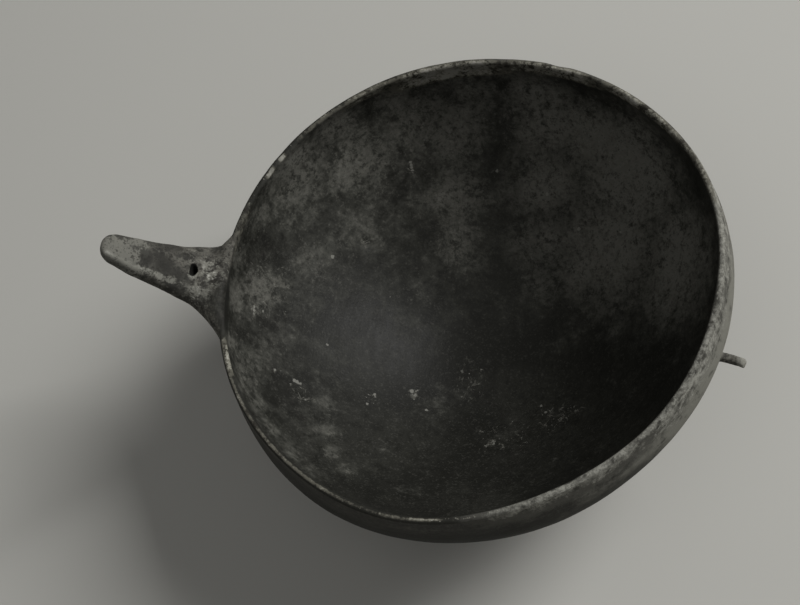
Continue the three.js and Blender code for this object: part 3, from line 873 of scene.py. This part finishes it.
# The peg's rings stand round a line that goes straight out of the wall and droops with the
# square of the distance, and near its end with the fifth power of it. At its root each line of the
# skin is a quadratic curve that levels out on the wall. Its end closes as half an oval with a
# rough, slanting break.
def makePeg(form):
    turn = math.radians(form["direction"])
    away = np.array([math.cos(turn), math.sin(turn), 0])
    side = np.array([-math.sin(turn), math.cos(turn), 0])
    outside = profile["arc"] < profile["crest"]
    height = bowlHeight - form["belowRim"]
    wallArc = np.interp(height, profile["height"][outside], profile["arc"][outside])
    wall, _ = claySurface(np.array([turn]), np.array([wallArc]))
    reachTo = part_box("peg_lug")[1].x / mm / away[0] - wall[0] @ away
    angle = np.linspace(0, math.tau, form["pointsAround"], endpoint=False)
    circle = side * np.cos(angle)[:, None] + np.array([0, 0, 1.0]) * np.sin(angle)[:, None]

    def ring(distance, radius):
        centre = away * (wall[0] @ away + distance)
        out = max(distance, 0) / form["reach"]
        centre[2] = height - form["droop"] * out ** 2 - form["tipDroop"] * out ** 5
        return centre + circle * radius

    def onWall(radius):
        return claySurface(turn + np.cos(angle) * radius / rimRadius, wallArc + np.sin(angle) * radius)

    half = form["diameter"] / 2
    rows = []
    for beyond, depth in form["buried"]:
        points, normals = onWall(form["smearLanding"] + beyond)
        rows.append(points - normals * depth)
    landing, _ = onWall(form["smearLanding"])
    corner, _ = onWall(half + form["smearCorner"])
    leaving = ring(form["smearLength"], half)
    for t in np.linspace(1, 0, form["smearRows"]):
        rows.append(leaving * (1 - t) ** 2 + corner * 2 * t * (1 - t) + landing * t ** 2)
    reach = min(reachTo, form["reach"]) - form["brokenOff"]
    straight = reach - form["tipRounding"]
    for distance in np.linspace(form["smearLength"], straight, form["rodRows"])[1:]:
        rows.append(ring(distance, half))
    for over in np.radians(np.linspace(0, form["tipEnd"], form["tipRows"])[1:]):
        distance = straight + form["tipRounding"] * math.sin(over)
        rows.append(ring(distance, half * math.cos(over) ** form["tipPower"]))
    rows = np.array(rows)
    first, last = rows[0].mean(0), rows[-1].mean(0)

    out = rows @ away - wall[0] @ away
    centre = away * (rows @ away)[..., None] + np.array([0, 0, height])
    swelling = sum(handField(rows, spacing, seed) * height for spacing, height, seed in form["swells"])
    broken = smoothStep(out, straight - form["breakLength"], reach)
    depth, spacing, seed = form["breakRoughness"]
    rough = handField(rows, spacing, seed) * depth * broken
    offset = rows - centre
    offset /= np.maximum(np.linalg.norm(offset, axis=-1), 0.3)[..., None]
    free = smoothStep(out, *form["swellsFrom"])
    rows = rows + offset * ((swelling - form["rubbedThinner"]) * free)[..., None]
    lean = form["breakSlope"] * (0.5 + 0.5 * offset[..., 2]) * broken
    rows = rows - away * (lean + np.abs(rough))[..., None]

    mesh = skinMesh("pegLug", rows, first, last - away * form["brokenIn"])
    points, _ = readPoints(mesh)
    gap, fromCrest = standOff(points)
    masks = wallMasks(points, fromCrest)
    masks["horn"] = smoothStep(gap, *form["hornFrom"])
    out = points @ away - wall[0] @ away
    rubbedLength, rubbed = form["rubbedEnd"]
    storeValues(
        mesh,
        fromCrest=fromCrest,
        paleTip=smoothStep(out, straight * form["paleFrom"], reach),
        rubbedEdge=smoothStep(out, reach - rubbedLength, reach) * rubbed,
        **masks,
    )
    return addObject("pegLug", mesh)


peg = makePeg(pegForm)
print("peg made,", len(peg.data.polygons), "faces")


# Materials

# Colours are written as sRGB hex values and turned to linear here.
def linearColour(hexValue):
    parts = [int(hexValue[i:i + 2], 16) / 255 for i in (1, 3, 5)]
    return [p / 12.92 if p <= 0.04045 else ((p + 0.055) / 1.055) ** 2.4 for p in parts] + [1.0]


# Adds a shader node with its settings. An input is a value or the output that feeds it.
def addNode(tree, kind, inputs=None, **settings):
    made = tree.nodes.new("ShaderNode" + kind)
    for name, value in settings.items():
        setattr(made, name, value)
    for name, value in (inputs or {}).items():
        if isinstance(value, bpy.types.NodeSocket):
            tree.links.new(value, made.inputs[name])
        else:
            made.inputs[name].default_value = value
    return made


# A new material with its nodes and its shader.
def newMaterial(name):
    material = bpy.data.materials.new(name)
    material.use_nodes = True
    return material, material.node_tree, material.node_tree.nodes["Principled BSDF"]


# Patterns of the clay, each a noise with spots of a real size in millimetres, stretched to run
# from 0 to 1 over its spread. One with a stretch is drawn out level, as a burnishing pebble
# leaves its strokes. A swirl bends it, and a ridge keeps only the lines between its spots. Grit,
# specks and scratches are finer on a real bowl, and drawn as coarse as they need to show.
clayPatterns = {
    "firing": {"size": 56, "detail": 3, "rough": 0.5, "spread": 0.2},
    "cloud": {"size": 25, "detail": 6, "rough": 0.62, "spread": 0.19, "swirl": 0.5},
    "mottle": {"size": 9, "detail": 6, "rough": 0.7, "spread": 0.2, "swirl": 0.3},
    "smudge": {"size": 4, "detail": 5, "rough": 0.72, "spread": 0.2},
    "grit": {"size": 1.5, "detail": 2, "rough": 0.6, "spread": 0.22},
    "wisps": {"size": 16, "detail": 6, "rough": 0.68, "spread": 0.05, "swirl": 1.0, "ridge": True},
    "specks": {"size": 1.9, "detail": 3, "rough": 0.7, "spread": 0.32},
    "scuffs": {"size": 6, "detail": 6, "rough": 0.74, "spread": 0.16, "swirl": 0.8},
    "strokes": {"size": 5.5, "stretch": 5, "detail": 6, "rough": 0.72, "spread": 0.2},
    "scratches": {
        "size": 1.1, "stretch": 9, "detail": 2, "rough": 0.4, "spread": 0.34, "turned": (0.9, 0.5, 0.7),
    },
}

# Single lime spots and scrapes inside, each a ragged ball or a row of them: place, radius
limeMarks = [
    ((-60, 123, 85), 1.2), ((-59.7, 121.5, 83.5), 1.3), ((-59.4, 120, 82), 1.3), ((-59.1, 118.5, 80.5), 1.3),
    ((-59, 116.8, 79.2), 1.2), ((-59, 115, 78), 1.1), ((-151, -4, 110), 1.3), ((-150.5, -6.5, 110), 1.3),
    ((-150, -9, 110), 1.4), ((-147, -4, 103), 1.2), ((-125, -47, 83), 1.7), ((-123, -47.5, 81.5), 2.0),
    ((-121, -48, 80), 1.8), ((-135, -44, 95), 1.5), ((-132, -43, 91), 1.3), ((-113, -11, 61), 1.2),
    ((-80, -41, 42), 1.5), ((-83, -50, 47), 1.1), ((-78, 37, 39), 1.1), ((-114, 53, 73), 1.7),
    ((-58, -32, 26), 2.0), ((-46, -46, 25), 1.4), ((59, 82, 50), 1.8), ((90, 72, 62), 1.0),
    ((37, 106, 60), 1.6), ((1, 122, 69), 1.4), ((34, -40, 19), 1.3), ((38, -46, 22), 1.2),
]

# Layers of the wall, from the body of the clay up: colour, roughness, strength, how far it stands
# up in millimetres, and the levels that it starts and is whole at, of the sum of its masks and
# patterns, each times its weight.
wallLayers = [
    # The fire's slow clouds, and the duller outside
    ("#2a2a26", 0.56, 0.8, 0, 0.3, 0.85, dict(firing=0.6, mottle=0.4)),
    ("#2c2b27", 0.58, 0.9, 0, -0.9, -0.1, dict(inside=-1)),
    ("#45443f", 0.66, 0.75, 0, 0.35, 0.9, dict(inside=-1, strokes=0.6, smudge=0.4)),
    # Bloom, partly painted light and a painted reflection
    ("#3f3f3a", 0.6, 0.95, 0, 0.8, 1.75, dict(bloomAndPaintedLight=1.2, cloud=0.7, mottle=0.5)),
    ("#5a5953", 0.68, 0.85, 0, 1.4, 2.2, dict(bloomAndPaintedLight=1, mottle=0.7, cloud=0.5, smudge=0.5)),
    ("#66655e", 0.68, 0.55, 0, 1.25, 1.7, dict(bloomAndPaintedLight=0.8, wisps=0.6, smudge=0.6)),
    ("#55544e", 0.68, 0.45, 0, 1.12, 1.36, dict(bloomAndPaintedLight=0.6, smudge=0.8, grit=0.4)),
    ("#7b7a73", 0.7, 0.45, 0, 1.6, 1.95, dict(bloomAndPaintedLight=0.8, smudge=0.6, grit=0.5, cloud=0.4)),
    ("#1a1a17", 0.5, 0.55, 0, -0.5, -0.18, dict(mottle=-0.6, smudge=-0.4, horn=-1)),
    ("#4e4d48", 0.6, 0.34, 0, 0.55, 0.85, dict(grit=0.6, smudge=0.4)),
    ("#161613", 0.6, 0.5, 0, -0.42, -0.16, dict(grit=-0.6, smudge=-0.4)),
    # The lip, dulled by hands
    ("#252521", 0.85, 0.7, 0, 0.1, 0.8, dict(lip=1)),
    # Lime crust on the outside
    ("#4b4a45", 0.85, 0.94, 0.06, 0.7, 1.15, dict(crust=1.3, mottle=0.35, strokes=0.35)),
    ("#75746c", 0.88, 0.85, 0.05, 1.1, 2.25, dict(haze=1.4, mottle=0.5, strokes=0.5, cloud=0.5, smudge=0.3)),
    ("#32312d", 0.78, 0.75, 0, -0.2, 0.05, dict(crust=0.4, mottle=-0.6, strokes=-0.5)),
    ("#72716a", 0.9, 0.85, 0.1, 1.3, 1.52, dict(crust=1, mottle=0.35, strokes=0.4, smudge=0.35)),
    ("#8d8c84", 0.9, 0.82, 0.1, 1.56, 1.78, dict(crust=1, mottle=0.3, strokes=0.35, smudge=0.4, grit=0.25)),
    # Worn lip
    ("#5d5b52", 0.8, 0.9, 0, 1.1, 1.5, dict(crestWear=1.2, smudge=0.6, mottle=0.3)),
    ("#2c2a25", 0.75, 0.8, 0, -0.16, 0, dict(crestWear=0.4, mottle=-0.6, smudge=-0.6)),
    ("#87857a", 0.85, 0.85, 0.05, 1.66, 1.8, dict(crestWear=1, smudge=0.6, mottle=0.5, grit=0.2)),
    ("#a3a198", 0.85, 0.8, 0.05, 1.98, 2.1, dict(crestWear=1, smudge=0.5, mottle=0.6, grit=0.4)),
    ("#8d8b80", 0.85, 0.7, 0, 1.78, 1.9, dict(lip=1, specks=1, mottle=0.3)),
    # Lime flecks and scratches
    ("#5d5c55", 0.7, 0.6, 0, 1.25, 1.5, dict(flecked=0.8, bloomAndPaintedLight=0.3, scuffs=0.9)),
    ("#8a8982", 0.8, 0.62, 0.05, 1.5, 1.68, dict(flecked=0.6, scuffs=0.6, specks=1)),
    ("#85847d", 0.8, 0.7, 0.05, 0, 1, dict(marks=1)),
    ("#77766f", 0.6, 0.5, 0, 1.02, 1.08, dict(flecked=0.25, scratches=1)),
]

# Layers where the handle's and the peg's clay is, which is smeared onto the wall as well: rubbed
# pale at the tip and the near edge, fire darkened, crusted at the root, and painted shade in the hole.
hornLayers = [
    ("#3d3c38", 0.8, 0.95, 0, 0, 1, dict(horn=1)),
    ("#615f58", 0.74, 0.85, 0, 1.36, 1.7, dict(horn=1, mottle=0.6, smudge=0.4)),
    ("#2c2b28", 0.74, 0.75, 0, 0.42, 0.75, dict(horn=1, mottle=-0.6, cloud=-0.4)),
    ("#6f6e67", 0.84, 0.9, 0, 0.95, 1.15, dict(paleTip=1, mottle=0.5, cloud=0.4)),
    ("#2a2926", 0.74, 0.8, 0, 1.4, 1.7, dict(fireDark=1, mottle=1, smudge=0.6)),
    ("#74736b", 0.85, 0.6, 0.03, 1.54, 1.7, dict(horn=1, fireDark=-0.4, smudge=0.6, grit=0.4)),
    ("#252420", 0.8, 0.7, 0, 0.56, 0.74, dict(horn=1, smudge=-0.5, grit=-0.5)),
    ("#7d7c74", 0.8, 0.9, 0, 1.1, 1.4, dict(rubbedEdge=1.1, smudge=0.5, mottle=0.6)),
    ("#a2a199", 0.85, 0.8, 0, 1.45, 1.7, dict(rubbedEdge=1, smudge=0.8, grit=0.4)),
    ("#77766e", 0.88, 0.9, 0.1, 1.2, 1.5, dict(handleCrust=0.9, smudge=0.7, mottle=0.4, grit=0.3)),
    ("#a6a59d", 0.9, 0.9, 0.1, 1.42, 1.7, dict(handleCrust=0.8, smudge=0.8, grit=0.5)),
    ("#9b9a92", 0.9, 0.7, 0, 1.56, 1.7, dict(horn=0.6, fireDark=-0.3, specks=1, grit=0.3)),
    # Painted shade in the string hole
    ("#11110f", 0.9, 0.98, 0, 0.1, 0.6, dict(inHole=1)),
    # Smoke, partly painted shade on the near side's outer wall and beside the handle's root
    ("#1d1d1a", 0.68, 0.82, 0, 0.75, 1.6, dict(sootAndPaintedShade=1.1, cloud=0.5, smudge=0.4)),
]

# The clay's body, under all its layers.
clayBody = {
    "colour": "#1c1c19",
    "roughness": 0.52,
    "specular": 0.14,
    "lifts": dict(strokes=0.1, grit=0.05),  # how far they stand up, in millimetres
    "strokeGloss": 0.12,  # how much rougher the dullest stroke is than the glossiest
    "raggedBy": 1.6,  # in millimetres, the size of what makes the lime marks ragged
    "markCore": 0.6,  # a mark is whole out to this share of its radius
}


# Reduced, burnished earthenware, hand-built and fired in a smoky fire: near black, with the low
# gloss of a surface that was rubbed with a pebble, clouded where the gloss is lost, and pale and
# dull where it is worn to the body or crusted with lime from the ground. Part of the clouding is
# painted light, and part of the smoky darkening and the string hole's darkness are painted shade.
def firedClay(name, layers, marks):
    material, tree, shader = newMaterial(name)
    shader.inputs["Specular IOR Level"].default_value = clayBody["specular"]
    place = addNode(tree, "TexCoord").outputs["Object"]

    sources = {}
    for key, pattern in clayPatterns.items():
        fine = 1 / (pattern["size"] * mm)
        drawn = fine / pattern.get("stretch", 1)
        sized = addNode(tree, "Mapping", {
            "Vector": place, "Rotation": pattern.get("turned", (0, 0, 0)), "Scale": (drawn, drawn, fine),
        })
        noise = addNode(tree, "TexNoise", {
            "Vector": sized.outputs["Vector"], "Scale": 1.0, "Detail": pattern["detail"],
            "Roughness": pattern["rough"], "Distortion": pattern.get("swirl", 0),
        })
        ridge = pattern.get("ridge", False)
        value = addNode(tree, "MapRange", {
            "Value": noise.outputs["Fac"], "From Min": 0.5 - pattern["spread"],
            "From Max": 0.5 + pattern["spread"], "To Max": 2 if ridge else 1,
        }).outputs["Result"]
        if ridge:
            value = addNode(tree, "Math", {0: value, 1: 1.0}, operation="PINGPONG").outputs[0]
        sources[key] = value

    # Places pushed about by up to half a millimetre, so that the marks' outlines are ragged
    ragged = clayBody["raggedBy"] * mm
    push = addNode(tree, "TexNoise", {"Vector": place, "Scale": 1 / ragged, "Detail": 1.0})
    push = addNode(tree, "VectorMath", {
        0: push.outputs["Color"], 1: (0.5, 0.5, 0.5),
    }, operation="SUBTRACT")
    pushed = addNode(tree, "VectorMath", {
        0: push.outputs["Vector"], 1: (ragged, ragged, ragged), 2: place,
    }, operation="MULTIPLY_ADD").outputs["Vector"]
    sources["marks"] = 0.0
    for centre, radius in marks:
        away = addNode(tree, "VectorMath", {
            0: pushed, 1: [part * mm for part in centre],
        }, operation="DISTANCE").outputs["Value"]
        near = addNode(tree, "MapRange", {
            "Value": away, "From Min": radius * mm, "From Max": clayBody["markCore"] * radius * mm,
        }).outputs["Result"]
        sources["marks"] = addNode(tree, "Math", {
            0: near, 1: sources["marks"],
        }, operation="MAXIMUM").outputs[0]

    # The sum of patterns and masks, each times its weight
    def weighted(weights, total=0.0):
        for key, weight in weights.items():
            if key not in sources:  # a mask, stored on the piece's points
                sources[key] = addNode(tree, "Attribute", attribute_name=key).outputs["Fac"]
            total = addNode(tree, "Math", {
                0: sources[key], 1: weight, 2: total,
            }, operation="MULTIPLY_ADD").outputs[0]
        return total

    colour, rough = linearColour(clayBody["colour"]), clayBody["roughness"]
    lift = weighted(clayBody["lifts"])
    for layerColour, layerRoughness, strength, standsUp, low, high, weights in layers:
        mask = addNode(tree, "MapRange", {
            "Value": weighted(weights), "From Min": low, "From Max": high, "To Max": strength,
        }, interpolation_type="SMOOTHSTEP").outputs["Result"]
        colour = addNode(tree, "Mix", {
            0: mask, 6: colour, 7: linearColour(layerColour),
        }, data_type="RGBA").outputs[2]
        rough = addNode(tree, "Mix", {0: mask, 2: rough, 3: layerRoughness}).outputs[0]
        if standsUp:
            lift = addNode(tree, "Math", {
                0: mask, 1: standsUp, 2: lift,
            }, operation="MULTIPLY_ADD").outputs[0]
    bump = addNode(tree, "Bump", {"Height": lift, "Distance": mm, "Strength": 1.0})
    glossy = weighted({"strokes": clayBody["strokeGloss"]}, -clayBody["strokeGloss"] / 2)
    rough = addNode(tree, "Math", {0: rough, 1: glossy}, operation="ADD").outputs[0]
    tree.links.new(colour, shader.inputs["Base Color"])
    tree.links.new(rough, shader.inputs["Roughness"])
    tree.links.new(bump.outputs["Normal"], shader.inputs["Normal"])
    return material


# Each piece's finish, its lime marks, its slot and the clay pieces that it stands for
bowlNodes = ("base_bowl", "wall_strip_1", "wall_strip_2", "wall_strip_3", "rim_coil")
for piece, finish, marks, clay, nodes in (
    (bowl, "burnishedEarthenware", limeMarks, "burnished_clay", bowlNodes),
    (handle, "rubbedEarthenware", [], "handle_clay", ("horn_handle", "handle_luting")),
    (peg, "brokenEarthenware", [], "peg_clay", ("peg_lug", "peg_luting")),
):
    piece.data.materials.append(firedClay(finish, wallLayers + hornLayers, marks))
    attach(piece, "root")
    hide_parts(*nodes)
print("clay materials made")


# Studio: a pale floor, an even pale surround and two soft boxes.
studio = {
    "floorColour": "#b9b8b2",
    "floorRoughness": 0.9,
    "floorSpecular": 0.2,
    "floorSize": 40.0,
    "floorFades": (0.9, 2.6),  # it fades into the surround between these distances
    "surroundColour": "#aeada7",
    "surroundLight": 0.12,
    "lightColour": "#ffffff",
    "aimHeight": 0.6,  # of the bowl's height
    # Soft boxes: direction to the light in the camera's right, up and back, distance in metres,
    # width, height, and the level that it gives a white surface that faces it
    "softBoxes": {
        "keyBox": ((0.54, 0.62, 0.58), 4.4, 2.0, 2.0, 1.0),
        "topBox": ((-0.3, 0.1, 0.95), 3.0, 2.4, 2.4, 0.1),
    },
}


# The rays that see the background itself rather than its light.
def seeingRays(tree):
    ray = addNode(tree, "LightPath")
    seeing = ray.outputs["Is Camera Ray"]
    for kind in ("Is Glossy Ray", "Is Transmission Ray"):
        seeing = addNode(tree, "Math", {
            0: seeing, 1: ray.outputs[kind],
        }, operation="MAXIMUM").outputs[0]
    return seeing


# The floor fades into a surround that is seen in one colour and lights the bowl at its own level.
def makeStudio(settings, cameraAxes):
    half = settings["floorSize"] / 2
    corners = [(-half, -half, 0), (half, -half, 0), (half, half, 0), (-half, half, 0)]
    mesh = bpy.data.meshes.new("floor")
    mesh.from_pydata(corners, [], [(0, 1, 2, 3)])
    floor = addObject("floor", mesh)
    paper, tree, matt = newMaterial("matPaper")
    matt.inputs["Base Color"].default_value = linearColour(settings["floorColour"])
    matt.inputs["Roughness"].default_value = settings["floorRoughness"]
    matt.inputs["Specular IOR Level"].default_value = settings["floorSpecular"]
    place = addNode(tree, "TexCoord").outputs["Object"]
    away = addNode(tree, "VectorMath", {0: place}, operation="LENGTH").outputs["Value"]
    far = addNode(tree, "MapRange", {
        "Value": away, "From Min": settings["floorFades"][0], "From Max": settings["floorFades"][1],
    }, interpolation_type="SMOOTHSTEP").outputs["Result"]
    fading = addNode(tree, "Math", {0: far, 1: seeingRays(tree)}, operation="MULTIPLY").outputs[0]
    surround = addNode(tree, "Emission", {"Color": linearColour(settings["surroundColour"])})
    both = addNode(tree, "MixShader", {
        0: fading, 1: matt.outputs["BSDF"], 2: surround.outputs["Emission"],
    })
    tree.links.new(both.outputs["Shader"], tree.nodes["Material Output"].inputs["Surface"])
    mesh.materials.append(paper)

    world = bpy.data.worlds.new("surround")
    bpy.context.scene.world = world
    world.use_nodes = True
    tree = world.node_tree
    light = tree.nodes["Background"]
    light.inputs["Color"].default_value = linearColour(settings["lightColour"])
    light.inputs["Strength"].default_value = settings["surroundLight"]
    seen = addNode(tree, "Background", {"Color": linearColour(settings["surroundColour"])})
    both = addNode(tree, "MixShader", {
        0: seeingRays(tree), 1: light.outputs["Background"], 2: seen.outputs["Background"],
    })
    tree.links.new(both.outputs["Shader"], tree.nodes["World Output"].inputs["Surface"])

    middle = Vector((0, 0, bowlHeight * mm * settings["aimHeight"]))
    for name, (direction, distance, width, height, level) in settings["softBoxes"].items():
        towards = sum((axis * part for axis, part in zip(cameraAxes, direction)), Vector())
        towards.normalize()
        lamp = bpy.data.lights.new(name, "AREA")
        lamp.shape = "RECTANGLE"
        lamp.size, lamp.size_y = width, height
        lamp.energy = level * (math.pi * distance) ** 2
        box = addObject(name, lamp)
        box.location = middle + towards * distance
        box.rotation_euler = towards.to_track_quat("Z", "Y").to_euler()


makeStudio(studio, cameraAxes)
bpy.context.scene.view_settings.view_transform = "Standard"
print("studio made")
